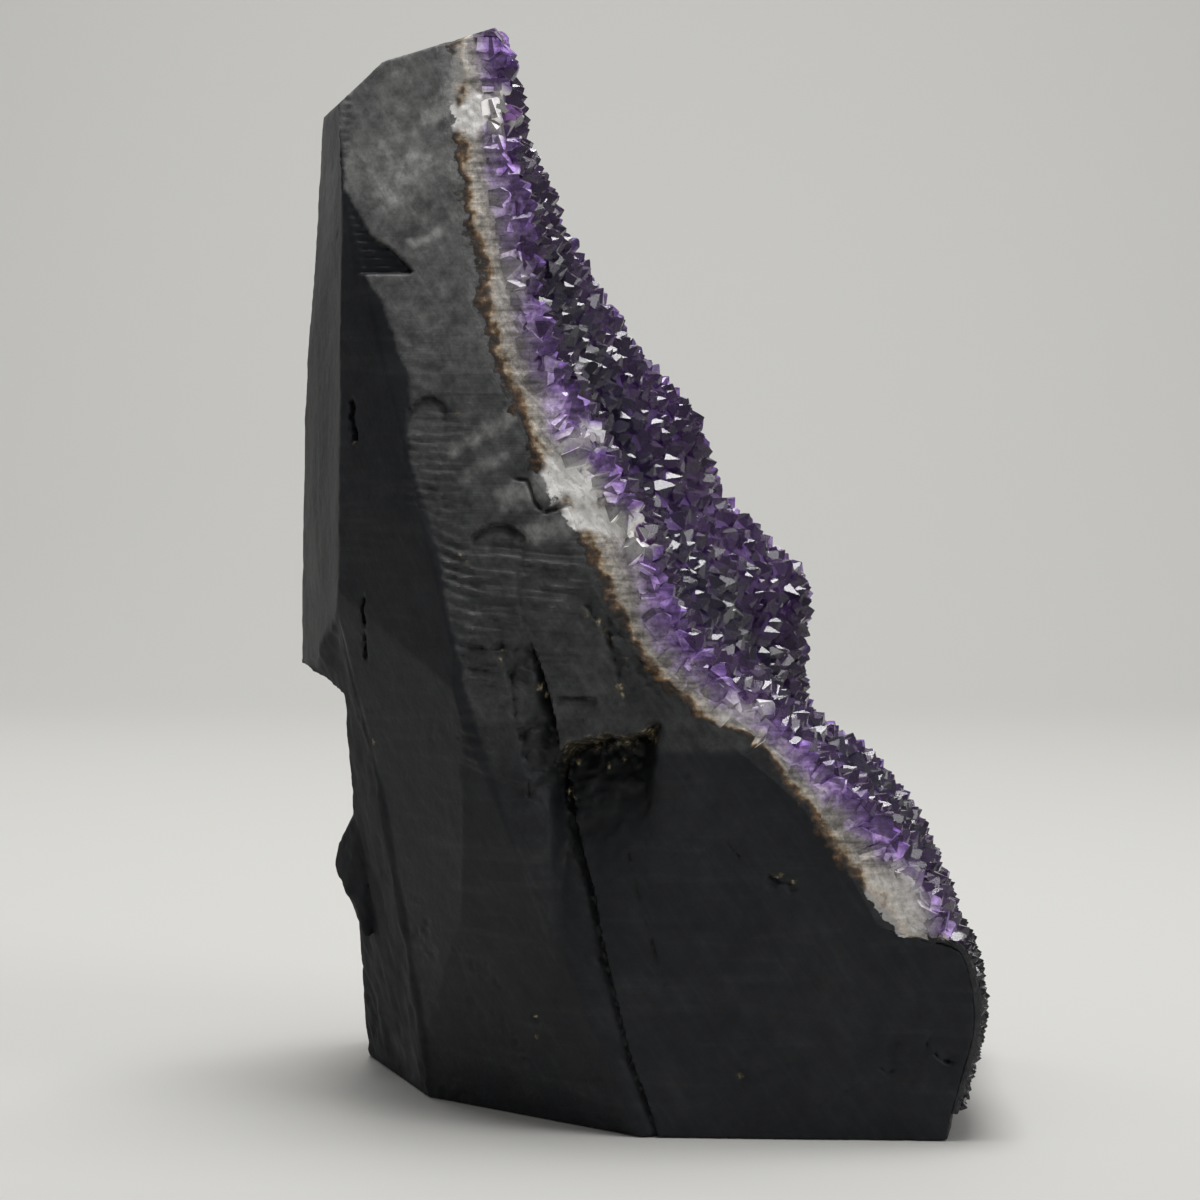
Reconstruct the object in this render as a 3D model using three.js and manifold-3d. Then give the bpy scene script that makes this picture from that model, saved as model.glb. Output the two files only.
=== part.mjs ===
// Amethyst geode, cut from its cavity so that it stands on a flat sawn base.
// Millimetres, +Z up. The crystal face looks towards -Y and leans back; the ground, black-coated
// rock is behind it. Shapes are set out in survey coordinates, whose origin is the corner where
// the stone was first measured, and the whole stone is moved over its own base at the end.
//
// Three pieces grew one on the other: the basalt rock, the pale quartz rind that lines its
// cavity, and the crust of amethyst crystals on the rind.

import * as THREE from "three";
import { mergeVertices } from "three/addons/utils/BufferGeometryUtils.js";
import { ConvexGeometry } from "three/addons/geometries/ConvexGeometry.js";
import Module from "manifold-3d";

const wasm = await Module();
wasm.setup();

// Driving dimensions
const BASE_CENTRE = [73.14, 4.62]; // survey place of the middle of the base, which becomes the origin
const CRUST = 11; // amethyst between the rind and the roots of the free crystal points
const RIND = 6.5; // pale quartz between the rock and the amethyst
const FOOT_CRUST = 1.6; // low on the front the crystals sit almost straight on the rock
const FOOT_TOP = [49, 57]; // heights between which the crust thins out towards the foot
const CRUST_FOOT = 7; // the lowest crystals stay this far above the base
const RIND_FOOT = 52; // the rind ends here
const GAP = 0.3; // between two pieces that touch
const CRYSTAL_PITCH = 11.5;
const CRYSTAL_RADIUS = 7.4;
const GRID = 13; // facet size of the cavity surface
const HEIGHTS = [-15, 0, 13, 26, 39, 49, 57]; // its facet rows, closer together at the foot
while (HEIGHTS.at(-1) < 310) HEIGHTS.push(HEIGHTS.at(-1) + GRID);
const BIG = 600;

// The ground facets: the compass facing of each outward normal (degrees from +X towards +Y),
// how far it leans up from level, and how far the facet stands from the survey origin.
const FACETS = {
  near_upper: [186.6, 12.3, 24.7],
  near_lower: [192.2, 0.8, -4.5],
  left_lower: [159.0, -12.7, -9.1],
  left_upper: [151.6, 0.7, 22.0],
  left_heel: [145.8, -9.8, 3.5],
  left_toe: [155.4, -15.8, -9.35],
  back_strip: [121.8, 0.8, 59.2],
  back: [88, 0.5, 110.5],
  back_upper: [80, 11.3, 151.4],
  far_back: [31, 0.5, 147.4],
  far_back_upper: [38, 17, 172],
  far_lower: [358, 1, 147],
  far_upper: [356, 13, 164],
  far_top: [352, 27, 197],
  crown_back: [119.1, 46.6, 240.9],
  crown: [135.8, 70.3, 280.1],
  crown_far: [10, 78, 303.5],
  crown_front: [272, 52, 214],
  crown_near: [270, 36.9, 146],
};

// The cavity wall, before its lumps: its distance to the front (y) at rising heights (z), on the
// near and on the far side of the stone.
const NEAR_PROFILE = [
  [-20, -88], [0, -89.5], [13, -92.5], [30, -96.5], [44, -95], [56, -90], [69, -83], [89, -69],
  [104, -52], [120, -35], [136, -21], [156, -13], [167, -8], [186, 4], [208, 16],
  [247, 26], [288, 34], [320, 37],
];
const FAR_PROFILE = [
  [-20, -68], [0, -70], [30, -74], [48, -73], [70, -63], [92, -47], [105, -31], [120, -26], [145, -18],
  [170, -3], [200, 11], [225, 27], [250, 38], [286, 51], [320, 56],
];
// The near and the far edge of the wall (x) at rising heights (z).
const NEAR_EDGE = [[0, 24], [52, 21], [100, 3], [166, 8], [230, 24], [292, 38]];
const FAR_EDGE = [[0, 145], [90, 145], [190, 124], [292, 82]];

// Swells and hollows of the wall: [x, z, radius, height], a height below 0 being a hollow.
const LUMPS = [
  [126, 144, 22, 12],
  [116, 192, 15, 7],
  [104, 226, 16, 4],
  [118, 78, 22, 4],
  [66, 92, 24, 5],
  [62, 180, 21, -13],
  [46, 140, 18, -6],
  [86, 122, 14, -5],
  [44, 222, 16, -5],
  [74, 256, 15, 4],
];

// A number from 0 up to 1 that is always the same for the same place and use.
function chance(i, j, use) {
  const wave = Math.sin(i * 127.1 + j * 311.7 + use * 74.7) * 43758.5453;
  return wave - Math.floor(wave);
}

function smoothStep(low, high, value) {
  const t = Math.min(1, Math.max(0, (value - low) / (high - low)));
  return t * t * (3 - 2 * t);
}

// Height to y along a profile, through its points with rounded bends.
function along(profile, z) {
  const last = profile.length - 1;
  if (z <= profile[0][0]) return profile[0][1];
  if (z >= profile[last][0]) return profile[last][1];
  const i = profile.findIndex((point) => point[0] > z) - 1;
  const slope = (k) => {
    const a = Math.max(0, k - 1);
    const b = Math.min(last, k + 1);
    return (profile[b][1] - profile[a][1]) / (profile[b][0] - profile[a][0]);
  };
  const [z0, y0] = profile[i];
  const [z1, y1] = profile[i + 1];
  const step = z1 - z0;
  const t = (z - z0) / step;
  return (
    y0 * (2 * t ** 3 - 3 * t ** 2 + 1) +
    step * slope(i) * (t ** 3 - 2 * t ** 2 + t) +
    y1 * (3 * t ** 2 - 2 * t ** 3) +
    step * slope(i + 1) * (t ** 3 - t ** 2)
  );
}

// Front of the amethyst layer, from which the free points stand out.
function amethystFront(x, z) {
  const across = smoothStep(along(NEAR_EDGE, z), along(FAR_EDGE, z), x);
  const wall = along(NEAR_PROFILE, z) * (1 - across) + along(FAR_PROFILE, z) * across;
  const swell = LUMPS.reduce((sum, [cx, cz, radius, height]) => {
    const far = ((x - cx) ** 2 + (z - cz) ** 2) / radius ** 2;
    return sum + height * Math.exp(-far);
  }, 0);
  return wall - swell;
}

// A layer's depth is set square to the wall, which leans back by about this slope.
const WALL_SLOPE = 0.5;
const LEAN = Math.hypot(1, WALL_SLOPE);

function rindFront(x, z) {
  const share = smoothStep(...FOOT_TOP, z);
  return amethystFront(x, z) + (FOOT_CRUST + (CRUST - FOOT_CRUST) * share) * LEAN;
}

function rockFront(x, z) {
  return rindFront(x, z) + RIND * smoothStep(...FOOT_TOP, z) * LEAN + GAP;
}

function solidOf(geometry) {
  const bare = geometry.clone();
  bare.deleteAttribute("normal");
  bare.deleteAttribute("uv");
  const merged = mergeVertices(bare, 1e-4);
  return new wasm.Manifold(
    new wasm.Mesh({
      numProp: 3,
      vertProperties: merged.attributes.position.array,
      triVerts: new Uint32Array(merged.index.array),
    }),
  );
}

function geometryOf(solid) {
  const { vertProperties, triVerts } = solid.getMesh();
  const geometry = new THREE.BufferGeometry();
  geometry.setAttribute("position", new THREE.BufferAttribute(vertProperties, 3));
  geometry.setIndex(new THREE.BufferAttribute(triVerts, 1));
  geometry.translate(-BASE_CENTRE[0], -BASE_CENTRE[1], 0);
  return geometry;
}

function outward(facing, lean) {
  const [f, l] = [facing, lean].map(THREE.MathUtils.degToRad);
  return new THREE.Vector3(Math.cos(f) * Math.cos(l), Math.sin(f) * Math.cos(l), Math.sin(l));
}

// Everything outside one ground facet.
function outside([facing, lean, distance]) {
  const normal = outward(facing, lean);
  const block = new THREE.BoxGeometry(BIG, BIG, BIG);
  const turn = new THREE.Quaternion().setFromUnitVectors(new THREE.Vector3(0, 0, 1), normal);
  block.applyQuaternion(turn);
  block.translate(...normal.multiplyScalar(distance + BIG / 2).toArray());
  return solidOf(block);
}

function hull(points) {
  return solidOf(new ConvexGeometry(points.map((point) => new THREE.Vector3(...point))));
}

// Everything behind a wall y = front(x, z), as one closed sheet of square facets.
function behind(front) {
  const [x0, columns, rows] = [-20, 15, HEIGHTS.length - 1];
  const deep = 200;
  const vertices = [];
  const faces = [];
  const across = columns + 1;
  for (const isDeep of [false, true]) {
    for (let row = 0; row <= rows; row++) {
      for (let column = 0; column <= columns; column++) {
        const x = x0 + column * GRID;
        const z = HEIGHTS[row];
        vertices.push(x, isDeep ? deep : front(x, z), z);
      }
    }
  }
  const layer = across * (rows + 1);
  const quad = (a, b, c, d) => faces.push(a, b, c, a, c, d);
  for (let row = 0; row < rows; row++) {
    for (let column = 0; column < columns; column++) {
      const a = row * across + column;
      quad(a, a + 1, a + across + 1, a + across);
      quad(layer + a, layer + a + across, layer + a + across + 1, layer + a + 1);
    }
  }
  for (let column = 0; column < columns; column++) {
    const top = rows * across + column;
    quad(column, column + layer, column + layer + 1, column + 1);
    quad(top, top + 1, top + layer + 1, top + layer);
  }
  for (let row = 0; row < rows; row++) {
    const near = row * across;
    const far = near + columns;
    quad(near, near + across, near + across + layer, near + layer);
    quad(far, far + layer, far + across + layer, far + across);
  }
  const geometry = new THREE.BufferGeometry();
  geometry.setAttribute("position", new THREE.Float32BufferAttribute(vertices, 3));
  geometry.setIndex(faces);
  return solidOf(geometry);
}

// The stone as it was ground: a block less what is outside each facet.
function groundBlock() {
  const block = new THREE.BoxGeometry(BIG, BIG, BIG);
  block.translate(0, 0, BIG / 2);
  return Object.values(FACETS).reduce(
    (left, facet) => left.subtract(outside(facet)),
    solidOf(block),
  );
}

// Low at the back the stone was left as it broke, set in under the ground slab above it.
const UNDER_SLAB = [132.8, -23.9, -13.8];
const UNDER_BACK = [0, -76, -101];
const BROKEN_STRIP = [[125.5, -10.2, 26.2], [122.1, -13.6, 23.9]];
const BROKEN_BACK = [100, 1.5, 78.8];

function brokenBack() {
  const [strip, stripTop] = BROKEN_STRIP.map(outside);
  return strip
    .intersect(stripTop)
    .intersect(outside(UNDER_SLAB))
    .add(outside(BROKEN_BACK).intersect(outside(UNDER_BACK)))
    .subtract(brokenBulge());
}

function brokenBulge() {
  return hull([
    [61, 96, 61], [60, 94, 68], [50, 84, 80], [54, 84, 42], [74, 93, 78], [74, 93, 44],
    [66, 60, 60], [56, 91, 54],
  ]);
}

// The dark pocket under the ledge on the near side, shallower towards its lower end.
function pocket() {
  return hull([
    [-12, 12, 93], [-12, 2, 107], [-12, -14, 112], [-12, -9, 92], [-12, 10, 84],
    [14, 8, 95], [14, 0, 105], [15, -9, 108], [11, -6, 96], [5, 2, 72], [4, 8, 74],
  ]);
}

// The long crease that runs from the pocket down to the base.
function crease() {
  return hull([
    [-12, 13, 96], [-12, 8, 96], [10, 9, 96],
    [-4, 3, 40], [-4, 1, 40], [9, 1.5, 40],
    [-2, -9, 2], [-2, -13, 2], [8.5, -11, 2],
  ]);
}

// The wedge that split off above the pocket, deepest along its sharp front edge.
function splitWedge() {
  return hull([
    [-10, 20, 152], [-10, 24, 136], [-10, 29, 126], [-10, 24, 96], [-10, 11, 92],
    [6.5, 23, 150], [8, 17, 122], [9, 11.5, 98], [3, 26, 124],
  ]);
}

// A saw mark that stepped into the edge high on the left.
function sawNotch() {
  return hull([
    [20.5, 77.6, 252], [16.3, 70.5, 228.2], [18.3, 57.4, 229.6], [20.5, 65, 230],
    [8, 66, 228], [8, 60, 230], [8, 76, 250],
  ]);
}

// One six-sided crystal along +Z: a short prism and its point, whose faces lie 52 degrees up.
function crystal(radius) {
  const point = radius * 1.05;
  const profile = [
    [0, -radius], [radius, -radius], [radius, radius * 0.1], [0, radius * 0.1 + point],
  ];
  return new THREE.LatheGeometry(profile.map(([r, z]) => new THREE.Vector2(r, z)), 6).rotateX(
    Math.PI / 2,
  );
}

// Crystals stand over the whole wall in staggered rows, each turned and tilted its own way.
function crystalPoints() {
  const [low, high] = [[8, 10], [150, 300]];
  const rowPitch = CRYSTAL_PITCH * 0.82;
  const made = [];
  for (let row = 0; low[1] + row * rowPitch < high[1]; row++) {
    for (let column = 0; low[0] + column * CRYSTAL_PITCH < high[0]; column++) {
      const stray = (use) => (chance(row, column, use) - 0.5) * CRYSTAL_PITCH;
      const x = low[0] + (column + (row % 2) * 0.5) * CRYSTAL_PITCH + stray(1) * 0.5;
      const z = low[1] + row * rowPitch + stray(2) * 0.4;
      const slopeX = amethystFront(x + 1, z) - amethystFront(x - 1, z);
      const slopeZ = amethystFront(x, z + 1) - amethystFront(x, z - 1);
      const axis = new THREE.Vector3(slopeX, -2, slopeZ).normalize();
      axis.x += stray(3) * 0.05;
      axis.y += stray(4) * 0.03;
      axis.z += stray(5) * 0.05;
      const isFoot = z < FOOT_TOP[0];
      const size = CRYSTAL_RADIUS * (isFoot ? 0.6 : 0.85 + 0.4 * chance(row, column, 6));
      const point = crystal(size);
      point.applyQuaternion(
        new THREE.Quaternion().setFromAxisAngle(
          new THREE.Vector3(0, 0, 1),
          chance(row, column, 7) * Math.PI,
        ),
      );
      point.applyQuaternion(
        new THREE.Quaternion().setFromUnitVectors(new THREE.Vector3(0, 0, 1), axis.normalize()),
      );
      const sink = size * (isFoot ? 0.75 : 0.5);
      point.translate(
        x - axis.x * sink,
        amethystFront(x, z) - axis.y * sink,
        z - axis.z * sink,
      );
      made.push(solidOf(point));
    }
  }
  return wasm.Manifold.union(made);
}

function above(height) {
  const block = new THREE.BoxGeometry(BIG, BIG, BIG);
  block.translate(0, 0, height + BIG / 2);
  return solidOf(block);
}

// A cut can leave crumbs; the piece is what is left of the stone itself.
function largest(solid) {
  return solid.decompose().reduce((a, b) => (b.volume() > a.volume() ? b : a));
}

const block = groundBlock();
const lessRind = (solid) => solid.subtract(behind(rindFront));

const rock = largest(
  block
    .intersect(behind(rockFront))
    .subtract(brokenBack())
    .subtract(pocket())
    .subtract(crease())
    .subtract(splitWedge())
    .subtract(sawNotch()),
);

const rind = largest(
  block
    .intersect(behind((x, z) => rindFront(x, z) + GAP))
    .subtract(behind((x, z) => rockFront(x, z) - GAP))
    .intersect(above(RIND_FOOT)),
);

const crust = largest(
  lessRind(behind(amethystFront).add(crystalPoints()))
    .intersect(block)
    .intersect(above(CRUST_FOOT)),
);

const coated = new THREE.MeshStandardMaterial({ color: 0x26282b, roughness: 0.6, metalness: 0 });
const paleQuartz = new THREE.MeshStandardMaterial({ color: 0xc9c4bd, roughness: 0.25, metalness: 0 });
const amethyst = new THREE.MeshStandardMaterial({ color: 0x5c4a7a, roughness: 0.15, metalness: 0 });

const geode = new THREE.Group();
for (const [name, solid, material] of [
  ["basalt_rock", rock, coated],
  ["quartz_rind", rind, paleQuartz],
  ["amethyst_crust", crust, amethyst],
]) {
  const mesh = new THREE.Mesh(geometryOf(solid), material);
  mesh.name = name;
  geode.add(mesh);
}

export default geode;
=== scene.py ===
# Amethyst geode on its sawn base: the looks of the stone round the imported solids.
# Shapes are set out in survey millimetres, as in the part's source, and moved over the base
# when a mesh is made. The crystal face looks towards -Y; the near side, cut and ground, is -X.

import itertools
import math

import bmesh
import bpy
import numpy as np
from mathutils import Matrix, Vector


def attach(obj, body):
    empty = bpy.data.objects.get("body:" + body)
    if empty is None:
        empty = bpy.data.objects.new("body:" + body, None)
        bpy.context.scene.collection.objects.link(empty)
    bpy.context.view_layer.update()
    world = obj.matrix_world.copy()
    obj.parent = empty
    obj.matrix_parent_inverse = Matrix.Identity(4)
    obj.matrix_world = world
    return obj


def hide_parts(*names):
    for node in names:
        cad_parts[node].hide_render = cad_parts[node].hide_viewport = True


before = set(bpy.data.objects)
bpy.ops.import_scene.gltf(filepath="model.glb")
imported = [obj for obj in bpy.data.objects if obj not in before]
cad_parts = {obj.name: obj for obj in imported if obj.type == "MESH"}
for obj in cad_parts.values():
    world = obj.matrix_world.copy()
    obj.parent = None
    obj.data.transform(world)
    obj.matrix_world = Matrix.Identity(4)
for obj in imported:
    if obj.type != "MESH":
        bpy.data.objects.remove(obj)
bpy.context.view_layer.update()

# Driving dimensions, as in the part's source
BASE_CENTRE = np.array([73.14, 4.62, 0.0])
CRUST = 11.0
RIND = 6.5
FOOT_CRUST = 1.6
FOOT_TOP = (49, 57)
CRUST_FOOT = 7.0
RIND_FOOT = 52.0
GAP = 0.3
WALL_SLOPE = 0.5
LEAN = math.hypot(1, WALL_SLOPE)
FACETS = {
    "near_upper": (186.6, 12.3, 24.7),
    "near_lower": (192.2, 0.8, -4.5),
    "left_lower": (159.0, -12.7, -9.1),
    "left_upper": (151.6, 0.7, 22.0),
    "left_heel": (145.8, -9.8, 3.5),
    "left_toe": (155.4, -15.8, -9.35),
    "back_strip": (121.8, 0.8, 59.2),
    "back": (88, 0.5, 110.5),
    "back_upper": (80, 11.3, 151.4),
    "far_back": (31, 0.5, 147.4),
    "far_back_upper": (38, 17, 172),
    "far_lower": (358, 1, 147),
    "far_upper": (356, 13, 164),
    "far_top": (352, 27, 197),
    "crown_back": (119.1, 46.6, 240.9),
    "crown": (135.8, 70.3, 280.1),
    "crown_far": (10, 78, 303.5),
    "crown_front": (272, 52, 214),
    "crown_near": (270, 36.9, 146),
}
NEAR_FACETS = ("near_upper", "near_lower", "left_lower", "left_upper", "left_heel", "left_toe")
UNDER_SLAB = (132.8, -23.9, -13.8)
UNDER_BACK = (0, -76, -101)
BROKEN_STRIP = ((125.5, -10.2, 26.2), (122.1, -13.6, 23.9))
BROKEN_BACK = (100, 1.5, 78.8)
BULGE = [
    (61, 96, 61), (60, 94, 68), (50, 84, 80), (54, 84, 42), (74, 93, 78), (74, 93, 44),
    (66, 60, 60), (56, 91, 54),
]
NEAR_PROFILE = [
    (-20, -88), (0, -89.5), (13, -92.5), (30, -96.5), (44, -95), (56, -90), (69, -83),
    (89, -69), (104, -52), (120, -35), (136, -21), (156, -13), (167, -8), (186, 4),
    (208, 16), (247, 26), (288, 34), (320, 37),
]
FAR_PROFILE = [
    (-20, -68), (0, -70), (30, -74), (48, -73), (70, -63), (92, -47), (105, -31), (120, -26),
    (145, -18), (170, -3), (200, 11), (225, 27), (250, 38), (286, 51), (320, 56),
]
NEAR_EDGE = [(0, 24), (52, 21), (100, 3), (166, 8), (230, 24), (292, 38)]
FAR_EDGE = [(0, 145), (90, 145), (190, 124), (292, 82)]
LUMPS = [
    (126, 144, 22, 12), (116, 192, 15, 7), (104, 226, 16, 4), (118, 78, 22, 4),
    (66, 92, 24, 5), (62, 180, 21, -13), (46, 140, 18, -6), (86, 122, 14, -5),
    (44, 222, 16, -5), (74, 256, 15, 4),
]


# Zones of the sawn rim: at each height, the depth behind the tips where purple turns white,
# and where the rock begins
PURPLE_TO = [
    (52, 8), (58, 6), (64, 4.5), (69, 4), (75, 9.5), (82, 11.5), (88, 12.3), (95, 11), (102, 9.3),
    (110, 9.7), (116, 12.5), (121, 14), (127, 13), (133, 11), (145, 7.9), (156, 7.4), (161, 5.5),
    (167, 7.5), (178, 11), (187, 11.7), (195, 10), (208, 8.7), (219, 7.9), (233, 8.1), (245, 8.6),
    (255, 9.8), (271, 8.1), (289, 9),
]
ROCK_FROM = [
    (52, 14.6), (69, 17.6), (79, 18.3), (89, 18.1), (98, 15.5), (106, 13), (111, 19), (122, 19.3),
    (133, 16.9), (146, 16.8), (159, 18.1), (165, 21), (172, 22), (179, 20), (195, 17), (210, 17),
    (224, 15.7), (239, 16.4), (256, 18), (271, 15.9), (291, 15.3),
]
# White places on the near rim, chalky quartz and, along the shining streak, a painted highlight: y,
# z, half sizes, strength
CHALK_AND_SHEEN = [
    (12, 172, 8, 6, 1.0), (-75, 61, 8.5, 9.5, 0.45), (40, 273, 12, 6, 0.9), (8, 184, 6, 3.5, 0.7),
    (0, 161.5, 13, 3.2, 1.0), (-9, 157, 5, 3, 0.9), (30, 226, 5, 6, 0.35), (-36, 113, 7, 4, 0.5),
    (50, 283, 4, 8, 0.4),
]
NEAR_SIDE = ("near_upper", "near_lower", "left_lower", "left_upper")
FAR_SIDE = ("far_lower", "far_upper", "far_top")
TOP_SIDE = ("crown", "crown_far", "crown_front", "crown_near", "crown_back")

CELL = 0.8  # grid of the rock's surface
MAP_CELL = 0.45  # grid of the near side's marks
ROCK_TRIANGLES = 196000
CURTAIN_ROWS = 460
SKIN = 2.8  # width of the tan skin between quartz and rock
OVERLAP = 1.0  # how far the layers of the rim reach into each other
DIP = 0.8  # how far a layer's overlapping edge sinks under its neighbour
COARSER = 1.0
WALL_CRYSTALS = {"pitch": 5.0 * COARSER, "size": 3.1 * COARSER, "proud": (-0.9, 1.2)}
FOOT_CRYSTALS = {"pitch": 2.9 * COARSER, "size": 1.45 * COARSER, "proud": (-0.5, 1.3)}
COLUMN_PITCH = 3.9
COLUMN_RADIUS = (1.9, 3.2)
LOWEST_COLUMN = 54.5
RIM_MIDDLE = 4  # depth behind the tips that the saw cuts of the columns are tilted about
POINT_ANGLE = math.radians(51.8)  # between a quartz point's faces and its base
QUARTZ_IOR = 1.544


# Numbers and noise

def smooth_step(low, high, value):
    t = np.clip((value - low) / (high - low), 0, 1)
    return t * t * (3 - 2 * t)


def band(value, low, full, fading, gone):
    """0 outside a range of values, 1 well inside it."""
    return smooth_step(low, full, value) * smooth_step(gone, fading, value)


def along(profile, z):
    """The profile's value at height z, through its points with rounded bends."""
    at, value = np.array(profile, float).T
    first, last = np.arange(len(at)) - 1, np.arange(len(at)) + 1
    first, last = np.clip(first, 0, None), np.clip(last, None, len(at) - 1)
    slope = (value[last] - value[first]) / (at[last] - at[first])
    z = np.clip(z, at[0], at[-1])
    i = np.clip(np.searchsorted(at, z, side="right") - 1, 0, len(at) - 2)
    step = at[i + 1] - at[i]
    t = (z - at[i]) / step
    return (
        value[i] * (2 * t**3 - 3 * t**2 + 1)
        + step * slope[i] * (t**3 - 2 * t**2 + t)
        + value[i + 1] * (3 * t**2 - 2 * t**3)
        + step * slope[i + 1] * (t**3 - t**2)
    )


def scatter(cell, seed):
    """A number from -1 to 1 for each whole-numbered cell."""
    h = np.full(cell.shape[:-1], seed * 668265263 + 374761393, np.int64)
    for k, prime in zip(range(cell.shape[-1]), (73856093, 19349663, 83492791)):
        h = (h ^ (cell[..., k] * prime)) & 0xFFFFFFFF
        h = (h * 1274126177) & 0xFFFFFFFF
        h = h ^ (h >> 15)
    return h / 2.0**31 - 1


def noise(points, size, seed, octaves=1):
    """Smooth noise from about -1 to 1, with bumps of that size, at points of 2 or 3 columns."""
    total = np.zeros(points.shape[:-1])
    weight = 1.0
    for octave in range(octaves):
        p = points / size * 2**octave
        cell = np.floor(p).astype(np.int64)
        f = p - cell
        f = f * f * f * (f * (f * 6 - 15) + 10)
        for corner in np.ndindex(*(2,) * p.shape[-1]):
            share = np.ones(total.shape)
            for k, c in enumerate(corner):
                share = share * (f[..., k] if c else 1 - f[..., k])
            total += weight * share * scatter(cell + np.array(corner), seed + octave * 17)
        weight *= 0.5
    return total


# The stone's surfaces

def outward(facing, lean):
    turn, rise = math.radians(facing), math.radians(lean)
    flat = math.cos(rise)
    return np.array([math.cos(turn) * flat, math.sin(turn) * flat, math.sin(rise)])


def beyond(facet, x, y, z):
    """How far a point stands outside a ground facet."""
    n = outward(*facet[:2])
    return n[0] * x + n[1] * y + n[2] * z - facet[2]


def past_break(x, y, z):
    """How far a point stands outside the rough break low at the back."""
    strip = np.minimum(beyond(BROKEN_STRIP[0], x, y, z), beyond(BROKEN_STRIP[1], x, y, z))
    side = np.minimum(strip, beyond(UNDER_SLAB, x, y, z))
    back = np.minimum(beyond(BROKEN_BACK, x, y, z), beyond(UNDER_BACK, x, y, z))
    return np.maximum(side, back)


def amethyst_front(x, z):
    across = smooth_step(along(NEAR_EDGE, z), along(FAR_EDGE, z), x)
    wall = along(NEAR_PROFILE, z) * (1 - across) + along(FAR_PROFILE, z) * across
    for cx, cz, radius, height in LUMPS:
        wall = wall - height * np.exp(-((x - cx) ** 2 + (z - cz) ** 2) / radius**2)
    return wall


def rind_front(x, z):
    share = smooth_step(*FOOT_TOP, z)
    return amethyst_front(x, z) + (FOOT_CRUST + (CRUST - FOOT_CRUST) * share) * LEAN


def rock_front(x, z):
    return rind_front(x, z) + RIND * smooth_step(*FOOT_TOP, z) * LEAN + GAP


def layer_front(x, z):
    """The dark floor between the crystal points."""
    return amethyst_front(x, z) + 0.7 + 2.9 * smooth_step(*FOOT_TOP, z)


def rim_share(p):
    """Place across the rim: 0 at the tips, 0.4 where purple turns white, 0.8 at the tan skin,
    and over 0.9 in the rock, which is also what coats the foot."""
    x, y, z = p.T
    depth = (y - amethyst_front(x, z)) / LEAN
    purple = np.interp(z, *np.array(PURPLE_TO).T)
    edge = np.interp(z, *np.array(ROCK_FROM).T)
    share = 0.4 * (depth + 3) / (purple + 3)
    skin = edge - SKIN
    share = np.where(depth > purple, 0.4 + 0.4 * (depth - purple) / (skin - purple), share)
    share = np.where(depth > skin, 0.8 + 0.036 * (depth - skin), share)
    foot = smooth_step(53.5, 50.5, z + 1.2 * noise(p, 5, 61, 2))
    return np.clip(share + 2 * foot, 0, 3)


def chalk_and_sheen_share(p):
    x, y, z = p.T
    wave = 0.45 * noise(p, 4, 63, 3)
    share = np.zeros(x.shape)
    for cy, cz, half_y, half_z, strength in CHALK_AND_SHEEN:
        away = np.hypot((y - cy) / half_y, (z - cz) / half_z)
        share = np.maximum(share, strength * smooth_step(1.25, 0.75, away + wave))
    return share * smooth_step(50, 40, x)


def rim_recess(p):
    """How far the rim's rough surface lies inside the ground facets."""
    share = rim_share(p)
    grains = 0.35 * noise(p, 1.7, 71, 2) + 0.4 * noise(p, 4.6, 72, 2)
    white = 0.45 + grains
    purple = 1.4 + 0.5 * grains
    skin = 0.4 + 0.5 * grains
    recess = purple + (white - purple) * smooth_step(0.3, 0.45, share)
    recess = recess + (skin - recess) * smooth_step(0.75, 0.85, share)
    return np.clip(recess * (1 - 0.7 * smooth_step(0.88, 1.0, share)), 0.03, None)


# Marks ground, split and weathered into the near side, as depths over its (y, z)

def from_path(path, y, z):
    """Distance to a path, which side of it (+1 towards +Y), and how far along it from 0 to 1."""
    best = np.full(np.broadcast(y, z).shape, 1e9)
    side, place = np.zeros(best.shape), np.zeros(best.shape)
    path = np.array(path, float)
    lengths = np.linalg.norm(np.diff(path, axis=0), axis=1)
    start = 0.0
    for a, b, length in zip(path[:-1], path[1:], lengths):
        d = (b - a) / length
        s = np.clip((y - a[0]) * d[0] + (z - a[1]) * d[1], 0, length)
        off_y, off_z = y - a[0] - s * d[0], z - a[1] - s * d[1]
        distance = np.hypot(off_y, off_z)
        nearer = distance < best
        best = np.where(nearer, distance, best)
        turn = np.sign(off_y * -d[1] + off_z * d[0])
        side = np.where(nearer, turn, side)
        place = np.where(nearer, (start + s) / lengths.sum(), place)
        start += length
    return best, side, place


def slit(path, y, z, width, depth):
    """A narrow crack with tapering ends."""
    distance, _, place = from_path(path, y, z)
    ends = smooth_step(0, 0.15, place) * smooth_step(0, 0.15, 1 - place)
    return depth * np.clip(1 - distance / width, 0, 1) * (0.25 + 0.75 * ends)


FISSURE_RIGHT = [
    (12.2, 90), (11.8, 96.8), (12.6, 107.3), (15.2, 118.5), (17.8, 126.4), (21.4, 135.3),
]
FISSURE_LEFT = [
    (20, 86), (21.2, 92.3), (21.3, 98.6), (23.9, 107.2), (24.7, 115.9), (26.5, 122.9), (27.6, 130),
    (25.5, 134),
]
HAIR_CRACK = [(21.6, 160.5), (23.2, 151.7), (24.1, 145.7), (21.4, 135.3), (17.8, 126.4)]
POCKET_TOP = [
    (13.5, 94), (12.3, 101), (10.5, 103), (7.9, 104.2), (1.5, 105.5), (-8.7, 106.6), (-13.5, 110),
]
CREASE = [
    (12, 94), (10.5, 91.6), (7.8, 78.6), (4, 65.5), (1.4, 52.5), (-2.5, 36.9), (-6.4, 21.3),
    (-10.3, 11), (-12.9, 3.2), (-14, -2),
]
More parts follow.
